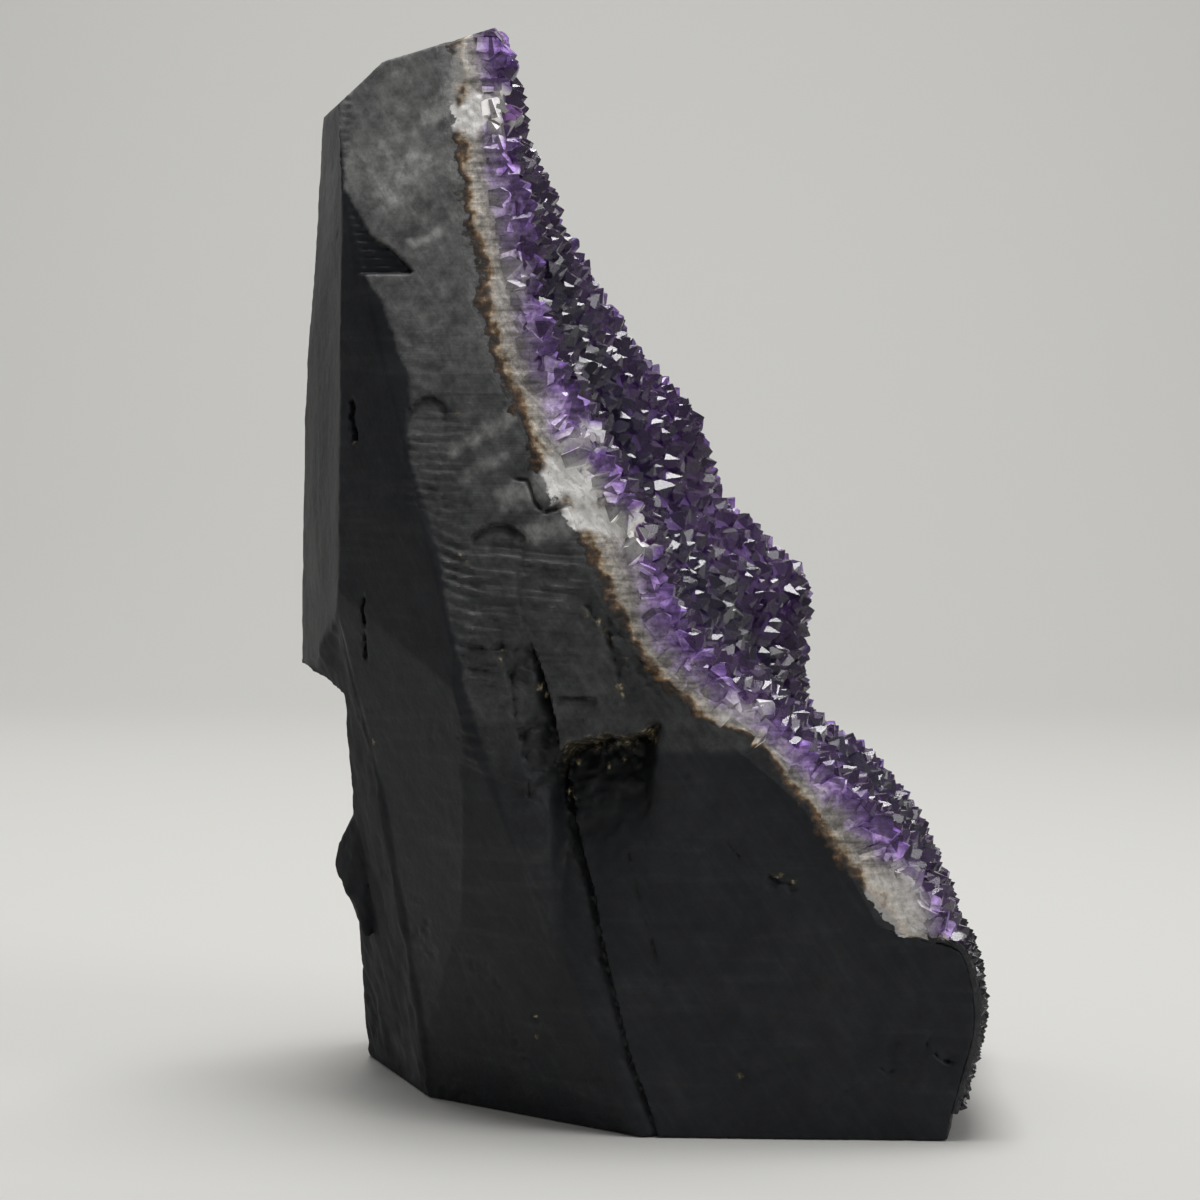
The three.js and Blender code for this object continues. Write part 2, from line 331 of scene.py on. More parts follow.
FAINT_CREASE = [(-2.5, 86), (-3.7, 81.2), (-7.5, 68.2), (-11.4, 55.2), (-15.3, 40.9)]
LEDGE = [(37.6, 98), (30, 95.5), (21.2, 92.5)]
EDGE_LEFT = [
    (81, 272), (79.4, 263.8), (77.4, 251.6), (69.2, 239.2), (64.2, 236.1), (56.9, 229.3),
    (70.6, 228.4), (65.4, 221.7), (62.7, 215.4), (60.2, 208), (57.1, 202.5), (55.8, 195.2),
    (55.6, 185.4), (53.5, 175.5), (47.9, 161.4), (43.6, 149), (41.8, 138.5), (38.3, 127.4),
    (36.8, 122.9), (40, 108.9), (37.6, 97.7),
]
CRUMBLED = [(7.6, 142.1), (1.7, 135.3), (-0.2, 130.1), (-2.8, 119.6), (-5.3, 113.4)]
# Paler streaks on the upper near side, rubbed wear and painted highlights along ridges: path, half
# width, strength
WEAR_AND_SHEEN_STREAKS = [
    ([(43.5, 180.5), (37.4, 184), (31, 187.2), (28, 190.5)], 1.9, 0.55),
    ([(39.5, 173.5), (34.5, 176.3), (30, 179)], 1.8, 0.35),
    ([(49.5, 284), (51.5, 277), (55, 272)], 2.6, 1.0),
    ([(58, 237.3), (54.5, 237.6), (50.8, 240)], 1.3, 0.6),
    ([(28, 168), (20, 171), (14, 177)], 3.4, 0.45),
    ([(22, 158), (12, 161), (4, 166)], 3.0, 0.45),
]
# Cream specks: y, z, radius
SPECKS = [
    (-10.5, 106, 1.5), (-12, 104.4, 0.9), (11.4, 90.4, 0.9), (10.6, 88.8, 0.6), (1.6, 97, 0.6),
    (-2.4, 98.5, 0.5), (39, 152.8, 0.6), (37.6, 151, 0.45), (17.4, 118.6, 0.6), (16.3, 116, 0.5),
    (2.6, 135.8, 0.8), (1.0, 133.3, 0.7), (-0.4, 131, 0.5), (-3.2, 118.6, 0.7), (-3.9, 116.3, 0.5),
    (26.9, 127.9, 0.6), (27.2, 125.4, 0.45), (-43.3, 68.8, 0.8), (-45, 69.4, 0.6),
    (-47.8, 67.7, 0.7), (-34.5, 16.4, 0.6), (20.7, 29.6, 0.5), (21.2, 24, 0.5), (70.4, 101.1, 0.6),
    (74.1, 182.8, 0.5), (42.6, 190.4, 0.6), (4.5, 102, 0.9), (-3, 103.5, 0.8), (9.6, 98, 0.8),
    (7.2, 139.5, 0.6), (5.4, 137.7, 0.5), (-5, 126, 0.7),
]
# Bites of the grinder: y, z, half width, rise of the arc, depth, fading length
SCOOPS = [
    (51, 192, 5.4, 3.8, 2.2, 3.6), (29.8, 158, 7.6, 3.6, 2.4, 3.8), (50.5, 203, 3.4, 1, 0.6, 2),
    (54, 211, 3.6, 1, 0.6, 2), (8, 115.8, 5.6, 0.3, 1.9, 2.5), (9, 110.6, 3.6, 0.3, 1.2, 2),
    (41, 166.5, 4, 1, 0.9, 2), (31, 136, 4, 1, 0.6, 2), (16, 147, 6, 0.6, 0.7, 3),
]
# Fine cracks: path, half width, depth
SLITS = [
    ([(27.3, 173.6), (22.7, 172.8), (20.6, 167), (17.9, 164.1)], 0.9, 2.8),
    ([(18.6, 164.1), (14.5, 165.2), (10.6, 167)], 0.9, 2.6),
    ([(32.1, 165.6), (26, 169), (21.8, 172)], 0.5, 0.6),
    ([(44, 201), (45.5, 196), (43, 190.5)], 0.6, 0.8),
    ([(75.5, 195.4), (74.6, 192.4), (75.3, 190.2), (74.2, 187.8)], 0.9, 3.2),
    ([(74.9, 188.2), (73.6, 185.4), (74.0, 182.6)], 1.1, 3.2),
    ([(70.2, 141.5), (71.0, 138), (70.4, 133)], 0.7, 2.4),
    ([(70.7, 132), (70.9, 128), (71.3, 124)], 0.6, 2.2),
    ([(-69, 20), (-72, 17.6), (-75, 19)], 0.6, 1.0),
    ([(-60, 12), (-64, 14), (-68, 18)], 0.5, 0.8),
    ([(-84, 29), (-82, 25), (-86, 21), (-90, 20)], 0.6, 1.1),
    ([(-40, 70), (-44, 67.5), (-49, 66.5)], 0.6, 1.0),
    ([(-30, 79), (-35, 73)], 0.5, 0.9),
    ([(41, 106), (36, 103.4), (30, 101.5)], 0.6, 0.7),
]
# Pits: y, z, radius, depth
PITS = [
    (-42.5, 67.4, 2.2, 1.6), (-47.5, 66.3, 1.8, 1.2), (-35, 16.5, 1.8, 1.4), (20.9, 29, 1.2, 1.0),
    (-12, 107.6, 2.6, 2.2), (28, 130, 2.4, 1.6), (-88, 22, 2.5, 1.2), (1.5, 46, 1.5, 1.0),
    (-20, 95, 2.0, 0.7), (-27, 88, 2.2, 0.6),
]
# How far the upper near side is painted grey, rising with height: rubbed wear, and a painted sheen of
# the light on the facet that leans up: z, share
WEAR_AND_SHEEN_BY_HEIGHT = [
    (94, 0.03), (112, 0.11), (150, 0.13), (166, 0.15), (200, 0.2), (226, 0.34), (244, 0.48),
    (290, 0.52),
]


def at_height(path, z):
    """The path's y at height z."""
    ordered = sorted(path, key=lambda point: point[1])
    return np.interp(z, [p[1] for p in ordered], [p[0] for p in ordered])


def teeth(phase):
    """Steps of a dragged grinder: a slow slope inwards, then a quick one back."""
    tooth = phase - np.floor(phase)
    return smooth_step(-0.1, 0.85, tooth) * (1 - smooth_step(0.85, 1.0, tooth))


def tool_ridges(y, z):
    """Level ridges left by the grinder, in patches."""
    grid = np.stack([y, z], -1)
    from_edge = at_height(EDGE_LEFT, z) - y
    patch = noise(grid, 21, 5, 2)
    wander = 0.3 * noise(grid, 13, 7) + 0.15 * noise(grid * [0.4, 1], 5, 8)
    uneven = 0.75 + 0.35 * noise(grid, 7, 6)

    strip = band(from_edge, -0.6, 0.6, 6, 11) * band(z, 116, 122, 200, 218)
    strip = strip * (0.3 + 0.7 * smooth_step(165, 155, z))
    depth = 1.15 * strip * uneven * teeth((z - 0.27 * y) / 3.1 + wander)

    scallops = band(y, 27, 31, 36, 39) * band(z, 94, 99, 115, 121)
    depth += 0.6 * scallops * uneven * teeth((z - 0.3 * y) / 3.7 + wander)

    swipe = band(y, 4, 9, 35, 37) * band(z, 112, 116, 154, 160)
    depth += 0.8 * swipe * uneven * teeth((z - 0.1 * y) / 5.3 + 0.6 * wander)
    depth += 0.2 * swipe * np.sin((z - 0.08 * y) * 2 * math.pi / 1.9 + 2 * noise(grid, 9, 9))

    below_scoop = band(y, 38, 43, 54, 57) * band(z, 162, 168, 190, 194)
    depth += 0.7 * below_scoop * uneven * teeth((z - 0.05 * y) / 2.6 + 0.5 * wander)
    faint = smooth_step(-0.1, 0.5, patch) * band(z, 100, 120, 215, 235)
    return depth + 0.16 * faint * teeth(z / 2.7 + wander)


def scoops(y, z):
    """Bites of the grinder, sharp along an arc above and running out below."""
    depth = np.zeros(y.shape)
    for cy, cz, half, rise, deep, fade in SCOOPS:
        across = (y - cy) / half
        below = cz + rise * (1 - across**2) - z
        inside = smooth_step(1.0, 0.9, np.abs(across)) * smooth_step(0, 0.6, below)
        depth = np.maximum(depth, deep * inside * np.exp(-np.clip(below, 0, None) / fade))
    return depth


def saw_notch(y, z):
    """The bite sawn into the edge high on the left, with its level saw lines."""
    right = np.interp(z, [229, 236.1, 239.2, 251.6], [57.2, 64.2, 69.2, 77.4])
    left = np.interp(z, [228, 252, 264], [71.5, 77, 79.4])
    inside = smooth_step(-0.1, 0.9, y - right) * smooth_step(2.5, -1.5, y - left)
    inside = inside * smooth_step(228.4, 229.3, z)
    rows = np.abs(((z - 229) / 2.3) % 1 - 0.5) * 2
    return inside * (1.5 * np.clip((252 - z) / 23, 0, 1) + 0.7 * rows)


def fissure(y, z, rough):
    """The split: a rough grey block on its left, deep along its sharp right side."""
    grid = np.stack([y, z], -1)
    wobble = 0.5 * noise(grid, 4.5, 32, 2)
    right, left = at_height(FISSURE_RIGHT, z), at_height(FISSURE_LEFT, z) + wobble
    t = np.clip((y - right) / (left - right), 0, 1)
    lumps = noise(grid, 5.5, 36, 2)
    sharp = np.interp(z, [90, 103, 116, 124, 130], [1.3, 1.7, 2.8, 7, 14])
    floor = 0.9 + 5.5 * (1 - t) ** sharp + 1.2 * rough + 0.8 * lumps * smooth_step(0, 0.3, t)
    left_crack = smooth_step(0.88, 0.97, t + 0.05 * lumps)
    left_crack = left_crack * smooth_step(-0.6, 0.4, noise(grid, 6, 87))
    floor = np.clip(floor + 0.8 * left_crack, 0.1, None)
    floor = floor * smooth_step(0, 0.5, y - right) * smooth_step(0, 0.6, left - y)
    top = z + 1.6 * noise(grid, 3, 37) + 0.25 * np.abs(y - 27)
    return floor * smooth_step(134, 130, top) * smooth_step(85, 91, z)


def pocket(y, z):
    """The hollow under the split, and how far below its upper edge each place is."""
    grid = np.stack([y, z], -1)
    ordered = POCKET_TOP[::-1]
    top = np.interp(y, [p[0] for p in ordered], [p[1] for p in ordered])
    below = top + 0.8 * noise(grid * [1, 0], 3.0, 31, 2) - z
    return band(y, -15, -8, 11, 15), below


def near_depth(y, z):
    grid = np.stack([y, z], -1)
    rough = noise(grid, 3.2, 21, 3)
    depth = 0.28 * noise(grid, 34, 11, 2) + 0.05 * noise(grid, 5, 12, 2) + 0.12
    depth += tool_ridges(y, z) + np.maximum(scoops(y, z), saw_notch(y, z))
    for path, width, strength in WEAR_AND_SHEEN_STREAKS:
        away, _, _ = from_path([(py, pz - 2.6) for py, pz in path], y, z)
        depth += 0.7 * strength * smooth_step(2.6 * width, 0, away)
    depth = np.maximum(depth, fissure(y, z, rough))
    depth = np.maximum(depth, slit(HAIR_CRACK, y, z, 0.7, 1.0))

    across, below = pocket(y, z)
    fade = np.exp(-np.clip(below, 0, None) / (15 + 6 * smooth_step(-10, 4, y)))
    lumps = noise(grid, 2.3, 34, 2) * band(below, -0.5, 1, 3, 7)
    depth += across * (14 * fade * smooth_step(0, 2.2, below) * (1 + 0.12 * rough) - 1.5 * lumps)

    to_crease, side, place = from_path(CREASE, y, z)
    breadth = 9 - 5 * place + 1.0 * noise(grid, 14, 33)
    groove = np.where(side > 0, np.clip(1 - to_crease / breadth, 0, 1) ** 1.9, 0)
    wall = np.where(side > 0, smooth_step(0, 0.6, to_crease), 0)
    depth += (3.4 - 1.5 * place + 0.4 * rough) * groove * wall
    to_faint, faint_side, _ = from_path(FAINT_CREASE, y, z)
    broken = smooth_step(-0.5, 0.5, noise(grid, 6, 35))
    valley = np.where(faint_side > 0, np.clip(1 - to_faint / 3.2, 0, 1) ** 1.5, 0)
    depth += 0.9 * valley * smooth_step(0, 0.5, to_faint) * broken * (1 + 0.6 * rough)

    line = np.interp(y, [p[0] for p in LEDGE][::-1], [p[1] for p in LEDGE][::-1])
    on_ledge = band(y, 19, 22, 36, 40)
    drop = np.clip(line - z, 0, None)
    depth += on_ledge * 1.1 * smooth_step(-0.2, 0.8, line - z) * np.exp(-drop / 14)

    beside = smooth_step(1.0, -0.5, y - at_height(CRUMBLED, z)) * band(z, 112, 118, 139, 146)
    depth += beside * np.clip(0.5 + 1.1 * noise(grid, 2.6, 38, 3), 0, None)
    to_crack, _, _ = from_path(CRUMBLED, y + 0.8 * noise(grid, 3, 39), z)
    depth += 1.1 * np.clip(1 - to_crack / 0.9, 0, 1) * smooth_step(-0.5, 0.2, noise(grid, 4, 40))

    for path, wide, deep in SLITS:
        depth = np.maximum(depth, slit(path, y, z, wide, deep))
    for cy, cz, radius, deep in PITS:
        far = np.hypot(y - cy, z - cz) / radius
        depth += deep * np.clip(1 - far**2, 0, 1) * (0.8 + 0.5 * rough)
    for cy, cz, radius in SPECKS:
        depth -= 0.4 * radius * smooth_step(1.2, 0.3, np.hypot(y - cy, z - cz) / radius)
    chipped = smooth_step(0.45, 0.85, noise(grid, 19, 41, 2)) * smooth_step(120, 95, z)
    depth += 0.35 * chipped * smooth_step(0.1, 0.7, noise(grid, 2.6, 43, 2))
    return np.clip(depth, 0.02, None)


def near_wear_and_sheen(x_upper, x_left, y, z):
    """How far the coat is painted grey, partly rubbed wear and partly a painted sheen of the light:
    the upper near side, right of its edge, is paler.
    """
    grid = np.stack([y, z], -1)
    from_edge = at_height(EDGE_LEFT, z) - y + 0.4 * noise(grid, 2.5, 96, 2)
    blotches = 0.3 * noise(grid, 13, 97, 3) + 0.12 * noise(grid * [1, 1.6], 3, 98, 2)
    tone = np.interp(z, *np.array(WEAR_AND_SHEEN_BY_HEIGHT).T) * (1 + blotches)
    # A pale patch high on the upper facet: painted highlight
    highlight_patch = smooth_step(1.4, 0.2, np.hypot((y - 62) / 8, (z - 256) / 10) + 0.5 * noise(grid, 4, 99, 3))
    tone = tone + 0.5 * highlight_patch
    # Paler streaks: rubbed wear and painted highlights along the ridges
    for path, width, strength in WEAR_AND_SHEEN_STREAKS:
        away, _, _ = from_path(path, y, z)
        tone = tone + strength * smooth_step(1.5, 0.2, away / width + 0.35 * noise(grid, 2.2, 94, 3))
    tone = tone * smooth_step(-0.4, 0.5, from_edge) * smooth_step(-0.5, 0.3, x_upper - x_left)
    from_rim = y - at_height(CRUMBLED, z) + noise(grid, 3, 93, 2)
    tone = tone * (1 - 0.55 * smooth_step(2.0, -1.0, from_rim) * band(z, 104, 114, 134, 158))
    tone = tone * (1 - 0.5 * smooth_step(0.2, 1.2, fissure(y, z, 0)))
    below_pocket = smooth_step(103, 100, z) * smooth_step(16, 12, y)
    return np.clip(tone * (1 - below_pocket), 0, 1)


def near_druse(y, z):
    """Cream and ochre grains: along the pocket's edge, and in specks."""
    grid = np.stack([y, z], -1)
    across, below = pocket(y, z)
    edge = smooth_step(-0.7, 0.3, below) * smooth_step(5.5, 1.2, below + 1.5 * noise(grid, 3, 91, 2))
    edge = 0.7 * across * edge * smooth_step(-0.5, 0.1, noise(grid, 2.5, 89, 2))
    for cy, cz, radius in SPECKS:
        away = np.hypot(y - cy, z - cz) / radius + 0.3 * noise(grid, 1.2, 88)
        edge = np.maximum(edge, 2 * smooth_step(1.25, 0.5, away))
    return edge


def side_at(names, axis, a, b):
    """The ground surface's coordinate along one axis, where the other two are a and b."""
    others = [k for k in range(3) if k != axis]
    places = []
    for name in names:
        n = outward(*FACETS[name][:2])
        places.append((FACETS[name][2] - n[others[0]] * a - n[others[1]] * b) / n[axis])
    pick = np.max if outward(*FACETS[names[0]][:2])[axis] < 0 else np.min
    return pick(places, axis=0)


MAP_Y = np.arange(-116, 118, MAP_CELL)
MAP_Z = np.arange(-6, 306, MAP_CELL)


def near_map():
    y, z = np.meshgrid(MAP_Y, MAP_Z, indexing="ij")
    depth = near_depth(y, z)
    x = side_at(NEAR_FACETS, 0, y, z)
    p = np.stack([x, y, z], -1).reshape(-1, 3)
    beside = smooth_step(4.5, 1.6, y - rock_front(x, z)) * smooth_step(50, 54, z)
    recess = rim_recess(p).reshape(y.shape)
    upper, left = side_at(("near_upper",), 0, y, z), side_at(("left_upper",), 0, y, z)
    return x + depth + beside * recess, depth, near_wear_and_sheen(upper, left, y, z), near_druse(y, z)


def read_map(values, y, z):
    """A map's value at scattered places, between its samples."""
    i = np.clip((y - MAP_Y[0]) / MAP_CELL, 0, len(MAP_Y) - 1.001)
    j = np.clip((z - MAP_Z[0]) / MAP_CELL, 0, len(MAP_Z) - 1.001)
    a, b = i.astype(int), j.astype(int)
    s, t = i - a, j - b
    return (
        values[a, b] * (1 - s) * (1 - t)
        + values[a + 1, b] * s * (1 - t)
        + values[a, b + 1] * (1 - s) * t
        + values[a + 1, b + 1] * s * t
    )


NEAR_X, NEAR_DEPTH, NEAR_WEAR_AND_SHEEN, NEAR_DRUSE = near_map()


# Meshes

def make_object(name, vertices, faces, in_row_frame=False):
    """A mesh object from survey millimetres."""
    if not in_row_frame:
        vertices = (np.asarray(vertices) - BASE_CENTRE) * 0.001
    mesh = bpy.data.meshes.new(name)
    mesh.from_pydata(np.asarray(vertices).tolist(), [], [list(map(int, f)) for f in faces])
    mesh.validate()
    mesh.update()
    made = bpy.data.objects.new(name, mesh)
    bpy.context.scene.collection.objects.link(made)
    return made


def surface_of(field, low, cell):
    """Closed mesh round the part of a grid where the field is below 0: one vertex in each cell
    that the surface passes, drawn to where it crosses the cell's edges."""
    inside = field < 0
    shape = np.array(field.shape) - 1
    count = np.zeros(shape, np.uint8)
    corners = list(itertools.product((0, 1), repeat=3))
    for dx, dy, dz in corners:
        count += inside[dx : dx + shape[0], dy : dy + shape[1], dz : dz + shape[2]]
    cells = np.argwhere((count > 0) & (count < 8))
    index = np.full(shape, -1, np.int32)
    index[tuple(cells.T)] = np.arange(len(cells))
    total, hits = np.zeros((len(cells), 3)), np.zeros(len(cells))
    for a, b in itertools.combinations(corners, 2):
        if sum(abs(p - q) for p, q in zip(a, b)) != 1:
            continue
        start, step = np.array(a), np.array(b) - np.array(a)
        fa, fb = field[tuple((cells + a).T)], field[tuple((cells + b).T)]
        crossed = (fa < 0) != (fb < 0)
        t = np.where(crossed, fa / np.where(crossed, fa - fb, 1), 0)
        total += np.where(crossed[:, None], start + t[:, None] * step, 0)
        hits += crossed
    vertices = np.asarray(low) + (cells + total / hits[:, None]) * cell
    faces = []
    for axis in range(3):
        u, v = [(1, 2), (2, 0), (0, 1)][axis]
        first = np.take(inside, range(shape[axis]), axis)
        second = np.take(inside, range(1, shape[axis] + 1), axis)
        edges = np.argwhere(first != second)
        place = edges[:, [u, v]]
        edges = edges[((place > 0) & (place < shape[[u, v]])).all(1)]
        step_u, step_v = np.eye(3, dtype=int)[u], np.eye(3, dtype=int)[v]
        ring = [edges - step_u - step_v, edges - step_v, edges, edges - step_u]
        quad = np.stack([index[tuple(r.T)] for r in ring], 1)
        flip = first[tuple(edges.T)]
        quad[~flip] = quad[~flip][:, ::-1]
        faces.append(quad)
    return vertices, np.concatenate(faces)


def keep_modifiers(obj):
    """Replaces the object's mesh by what its modifiers make of it."""
    seen = obj.evaluated_get(bpy.context.evaluated_depsgraph_get())
    mesh = bpy.data.meshes.new_from_object(seen)
    obj.modifiers.clear()
    old, obj.data = obj.data, mesh
    bpy.data.meshes.remove(old)


def combine(obj, other, operation):
    """Joins, cuts or intersects with another closed mesh, which is used up."""
    modifier = obj.modifiers.new("combine", "BOOLEAN")
    modifier.solver = "MANIFOLD"
    modifier.operation = operation
    modifier.object = other
    keep_modifiers(obj)
    mesh = other.data
    bpy.data.objects.remove(other)
    bpy.data.meshes.remove(mesh)


def convex(planes):
    """Corners of the solid inside planes given as outward normal and distance."""
    normals = np.array([p[0] for p in planes], float)
    reach = np.array([p[1] for p in planes], float)
    trios = np.array(list(itertools.combinations(range(len(planes)), 3)))
    trios = trios[np.abs(np.linalg.det(normals[trios])) > 1e-5]
    points = np.linalg.solve(normals[trios], reach[trios][..., None])[..., 0]
    inside = (points @ normals.T <= reach + 1e-6 * (1 + np.abs(reach))).all(1)
    return points[inside]


def hull_faces(points):
    """Triangles round the outside of a few points, and the points they use."""
    bm = bmesh.new()
    for p in points:
        bm.verts.new(p)
    bmesh.ops.remove_doubles(bm, verts=bm.verts, dist=1e-5)
    bmesh.ops.convex_hull(bm, input=bm.verts)
    bmesh.ops.delete(bm, geom=[v for v in bm.verts if not v.link_faces], context="VERTS")
    bmesh.ops.triangulate(bm, faces=bm.faces)
    bmesh.ops.recalc_face_normals(bm, faces=bm.faces)
    bm.verts.index_update()
    vertices = np.array([v.co[:] for v in bm.verts])
    faces = np.array([[v.index for v in f.verts] for f in bm.faces])
    bm.free()
    return vertices, faces


def hull_planes(points):
    vertices, faces = hull_faces(np.array(points, float))
    a, b, c = (vertices[faces[:, k]] for k in range(3))
    normals = np.cross(b - a, c - a)
    normals /= np.linalg.norm(normals, axis=1, keepdims=True)
    return list(zip(normals, (normals * a).sum(1)))


def ground_block(name, inset=0.0):
    """The stone's envelope: what is inside every ground facet."""
    planes = [(outward(f, l), reach - inset) for f, l, reach in FACETS.values()]
    planes += [((0, 0, -1), 0), ((0, -1, 0), 200)]
    return make_object(name, *hull_faces(convex(planes)))


def behind(name, front, step=2.0, foot=-10.0, top=312.0):
    """Everything behind a wall y = front(x, z), as a closed mesh."""
    xs, zs = np.arange(-22, 176, step), np.arange(foot, top, step)
    x, z = np.meshgrid(xs, zs, indexing="ij")
    sheet = np.stack([x, front(x, z), z], -1).reshape(-1, 3)
    back = np.stack([x, np.full(x.shape, 190.0), z], -1).reshape(-1, 3)
    index = np.arange(len(xs) * len(zs)).reshape(len(xs), len(zs))
    n = index.size
    a, b, c, d = index[:-1, :-1], index[1:, :-1], index[1:, 1:], index[:-1, 1:]
    quads = [np.stack([a, b, c, d], -1).reshape(-1, 4)]
    quads.append(quads[0][:, ::-1] + n)
    for line in (index[:, 0][::-1], index[0, :], index[:, -1], index[-1, :][::-1]):
        s, e = line[:-1], line[1:]
        quads.append(np.stack([s, e, e + n, s + n], -1))
    return make_object(name, np.concatenate([sheet, back]), np.concatenate(quads))


def rock_field():
    xs, ys, zs = np.arange(-8, 156, CELL), np.arange(-101, 113, CELL), np.arange(-3, 301, CELL)
    y, z = np.meshgrid(ys, zs, indexing="ij")
    near_x = read_map(NEAR_X, y, z)
    edges = [FACETS[name] for name in FACETS if name not in NEAR_FACETS]
    field = np.empty((len(xs), len(ys), len(zs)), np.float32)
    base_walls = rock_front(xs[:, None], zs[None, :])
    bulge = hull_planes(BULGE)
    for i, x in enumerate(xs):
        f = np.maximum(near_x - x, base_walls[i][None, :] - y)
        for facet in edges:
            f = np.maximum(f, beyond(facet, x, y, z))
        lump = np.max([n[0] * x + n[1] * y + n[2] * z - reach for n, reach in bulge], axis=0)
        f = np.maximum(f, np.minimum(past_break(x, y, z), lump))
        field[i] = np.maximum(f, -z)
    return field, (xs[0], ys[0], zs[0])


def vertex_normals(vertices, faces):
    a, b, c = vertices[faces[:, 0]], vertices[faces[:, 1]], vertices[faces[:, 2]]
    d = vertices[faces[:, 3]]
    across = np.cross(c - a, d - b)
    total = np.zeros(vertices.shape)
    for k in range(4):
        np.add.at(total, faces[:, k], across)
    return total / (np.linalg.norm(total, axis=1, keepdims=True) + 1e-12)


def is_broken(p):
    """1 where the surface is the rough break low at the back, 0 elsewhere."""
    return smooth_step(-1.2, -0.2, past_break(*p.T))


def make_rock():
    field, low = rock_field()
    vertices, faces = surface_of(field, low, CELL)
    normals = vertex_normals(vertices, faces)
    on_map = read_map(NEAR_X, vertices[:, 1], vertices[:, 2])
    ground = (np.abs(vertices[:, 0] - on_map) < 1.2 * CELL) & (normals[:, 0] < -0.7)
    vertices[ground, 0] = on_map[ground]
    rough = is_broken(vertices)
    bulge = smooth_step(82, 90, vertices[:, 1]) * smooth_step(100, 85, vertices[:, 2])
    far_side = smooth_step(-0.2, 0.3, normals[:, 0]) + smooth_step(0.3, 0.8, normals[:, 1])
    move = rough * (1.0 * noise(vertices, 26, 51, 2) + 0.5 * noise(vertices, 8, 52, 2))
    move += rough * (0.12 + bulge) * (0.5 * noise(vertices, 5, 55, 3))
    waves = 0.5 * noise(vertices, 30, 53, 2) + 0.1 * noise(vertices, 4, 54, 2)
    move += np.clip(far_side, 0, 1) * waves
    held = smooth_step(0.0, 2.5, vertices[:, 2])
    vertices = vertices + normals * (np.minimum(move, 0.6) * held)[:, None]
    vertices[:, 2] = np.maximum(vertices[:, 2], 0)
    rock = make_object("basalt_rock_skin", vertices, faces)
    triangles = 2 * len(faces)
    if triangles > ROCK_TRIANGLES:
        loose = rock.vertex_groups.new(name="loose")
        loose.add(np.nonzero(~ground)[0].tolist(), 1.0, "REPLACE")
        thin = rock.modifiers.new("thin", "DECIMATE")
        thin.ratio = ROCK_TRIANGLES / triangles
        thin.vertex_group = "loose"
        thin.vertex_group_factor = 8.0
        thin.use_collapse_triangulate = True
        keep_modifiers(rock)
        rock.vertex_groups.clear()
    p = survey_points(rock)
    share = rim_share(p)
    store(rock, "share", share)
    store(rock, "chalk_and_sheen", chalk_and_sheen_share(p) * smooth_step(0.4, 0.9, 1.9 - share))
    on_near = smooth_step(3, 1, np.abs(p[:, 0] - read_map(NEAR_X, p[:, 1], p[:, 2])))
    for name, values in (("hollow", NEAR_DEPTH), ("worn_and_sheen", NEAR_WEAR_AND_SHEEN), ("druse", NEAR_DRUSE)):
        store(rock, name, on_near * read_map(values, p[:, 1], p[:, 2]))
    store(rock, "broken", is_broken(p))
    rock.data.shade_smooth()
    rock.data.set_sharp_from_angle(angle=math.radians(55))
    return rock


def survey_points(obj):
    co = np.empty(len(obj.data.vertices) * 3)
    obj.data.vertices.foreach_get("co", co)
    return co.reshape(-1, 3) * 1000 + BASE_CENTRE


def store(obj, name, values):
    attribute = obj.data.attributes.new(name, "FLOAT", "POINT")
    attribute.data.foreach_set("value", np.asarray(values, np.float32))


# Crystals

# The grey valley of the hollow, as (x, z), and its half width; the rest is violet
GREY_VALLEY = [
    (56, 222), (65, 202), (70, 185), (61, 162), (55, 148), (70, 132), (88, 120), (70, 104), (60, 92),
]
GREY_REACH = 13


def crystal_shapes(count):
    """Six-sided quartz points along +Z, 1 in radius, each with its own uneven faces."""
    rng = np.random.default_rng(4)
    shapes = []
    for _ in range(count):
        planes = [((0, 0, -1), 1.4)]
        for k in range(6):
            turn = math.radians(60 * k)
            flat = np.array([math.cos(turn), math.sin(turn), 0])
            steep = flat * math.sin(POINT_ANGLE) + [0, 0, math.cos(POINT_ANGLE)]
            planes.append((flat, 1 + rng.uniform(-0.1, 0.12)))
            minor = 1.0 if k % 2 else rng.uniform(1.0, 1.22)
            planes.append((steep, 0.786 * minor * (1 + rng.uniform(-0.07, 0.07))))
        shapes.append(hull_faces(convex(planes)))
    return shapes


def wall_normal(x, z):
    slope_x = amethyst_front(x + 1, z) - amethyst_front(x - 1, z)
    slope_z = amethyst_front(x, z + 1) - amethyst_front(x, z - 1)
    n = np.array([slope_x, -2.0, slope_z])
    return n / np.linalg.norm(n)


def grow(name, shapes, places):
    """One closed mesh of crystals. Each place has a root, an axis, a turn and a size, and the
    crystals of one call stand clear of each other."""
    vertices, faces, start = [], [], 0
    for shape, root, axis, turn, size, height in places:
        corners, sides = shapes[shape]
        axis = axis / np.linalg.norm(axis)
        side = np.cross(axis, [math.cos(turn), math.sin(turn), 0.3])
        side /= np.linalg.norm(side)
        basis = np.stack([side, np.cross(axis, side), axis])
        vertices.append(root + (corners * [size, size, size * height]) @ basis)
        faces.append(sides + start)
        start += len(corners)
    return make_object(name, np.concatenate(vertices), np.concatenate(faces))


SIDES = NEAR_SIDE + FAR_SIDE + TOP_SIDE


